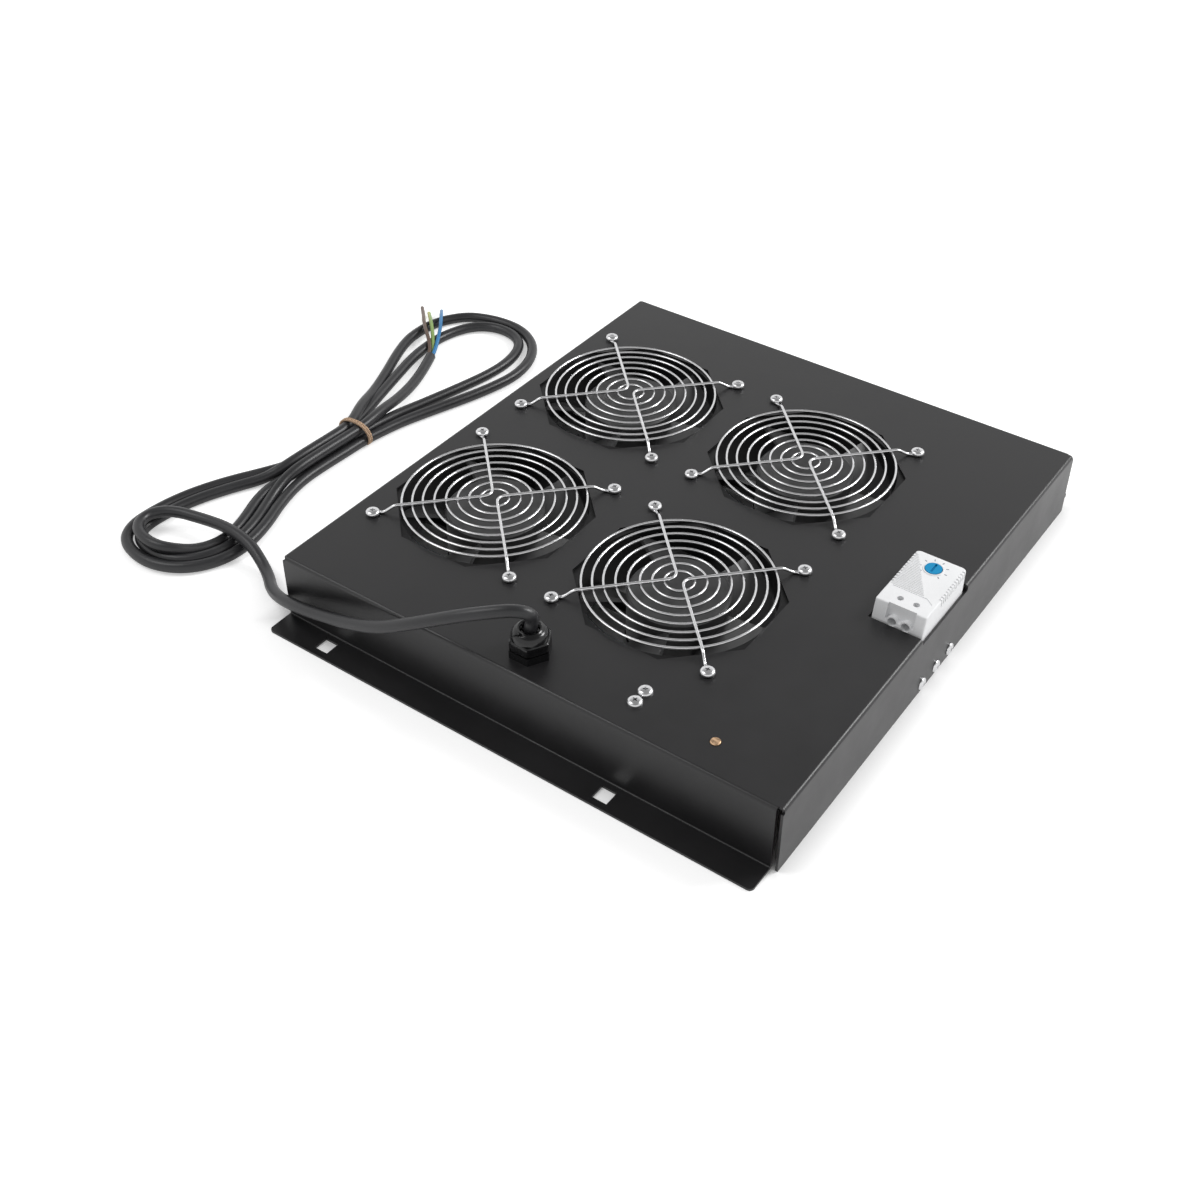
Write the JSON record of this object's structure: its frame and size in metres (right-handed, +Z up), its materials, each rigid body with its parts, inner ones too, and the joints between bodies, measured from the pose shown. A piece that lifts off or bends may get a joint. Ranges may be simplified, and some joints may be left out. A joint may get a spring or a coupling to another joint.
{
  "type": "rack fan tray",
  "caption": "Low folded steel rack tray with ducted axial fans under wire finger guards, a panel thermostat, a cable gland and a tied mains lead with bare cores.",
  "frame": {"origin": "bottom centre of the tray, in the plane of the flanges' undersides", "axes": "+X along the front edge to the thermostat's side, +Y from the gland's side to the back flange, +Z up out of the deck"},
  "size_m": [0.5147, 0.4068, 0.0828],
  "materials": {
    "panel": "fine textured matte black powder coat",
    "fan_frame": "satin moulded",
    "fan_rotor": "satin moulded",
    "stator": "laminated steel and windings",
    "shaft": "ground",
    "bearing": "sintered bronze",
    "guard": "bright nickel plated wire",
    "screw": "bright zinc plated",
    "thermostat": "fine spark eroded light grey",
    "dial": "smooth blue",
    "clip": "satin moulded",
    "bracket": "zinc plated sheet",
    "block": "natural white polyamide",
    "brass": "turned",
    "gland": "glossy black polyamide",
    "seal": "matte",
    "sheath": "matte dark grey sheath",
    "tie": "tan twist tape",
    "core_brown": "smooth insulation",
    "core_green": "green and yellow insulation",
    "core_blue": "smooth insulation"
  },
  "bodies": {
    "tray": {"tray_panel": "panel", "fan_frame_1": "fan_frame", "fan_stator_1": "stator", "finger_guard_1": "guard", "fan_frame_2": "fan_frame", "fan_stator_2": "stator", "finger_guard_2": "guard", "fan_frame_3": "fan_frame", "fan_stator_3": "stator", "finger_guard_3": "guard", "fan_frame_4": "fan_frame", "fan_stator_4": "stator", "finger_guard_4": "guard", "fan_bearings": "bearing", "guard_screws": "screw", "thermostat_housing": "thermostat", "thermostat_terminal_screws": "screw", "thermostat_clip": "clip", "thermostat_bracket": "bracket", "bracket_screws": "screw", "bracket_nuts": "screw", "terminal_block": "block", "terminal_clamps": "brass", "terminal_clamp_screws": "screw", "terminal_block_screws": "screw", "terminal_block_nuts": "screw", "earth_stud": "brass", "earth_nuts": "brass", "earth_washers": "brass", "gland_body": "gland", "gland_dome_nut": "gland", "gland_seal": "seal", "gland_locknut": "gland", "cord_tube": "sheath", "cord_hank": "sheath", "cord_end": "sheath", "cord_tie": "tie", "core_brown": "core_brown", "core_green_yellow": "core_green", "core_blue": "core_blue"},
    "rotor_1": {"fan_rotor_1": "fan_rotor", "fan_shaft_1": "shaft"},
    "rotor_2": {"fan_rotor_2": "fan_rotor", "fan_shaft_2": "shaft"},
    "rotor_3": {"fan_rotor_3": "fan_rotor", "fan_shaft_3": "shaft"},
    "rotor_4": {"fan_rotor_4": "fan_rotor", "fan_shaft_4": "shaft"},
    "dial": {"thermostat_dial": "dial"}
  },
  "joints": [
    {"name": "fan_1_spin", "type": "hinge", "parent": "tray", "child": "rotor_1", "pos_m": [-0.1007, -0.07185, 0.0245], "axis": [0, 0, 1], "continuous": true},
    {"name": "fan_2_spin", "type": "hinge", "parent": "tray", "child": "rotor_2", "pos_m": [0.0343, -0.07185, 0.0245], "axis": [0, 0, 1], "continuous": true},
    {"name": "fan_3_spin", "type": "hinge", "parent": "tray", "child": "rotor_3", "pos_m": [-0.1007, 0.07365, 0.0245], "axis": [0, 0, 1], "continuous": true},
    {"name": "fan_4_spin", "type": "hinge", "parent": "tray", "child": "rotor_4", "pos_m": [0.0343, 0.07365, 0.0245], "axis": [0, 0, 1], "continuous": true},
    {"name": "dial_turn", "type": "hinge", "parent": "tray", "child": "dial", "pos_m": [0.1515, 0.013, 0.055], "axis": [0, 0, 1], "range_deg": [-135, 135]}
  ]
}
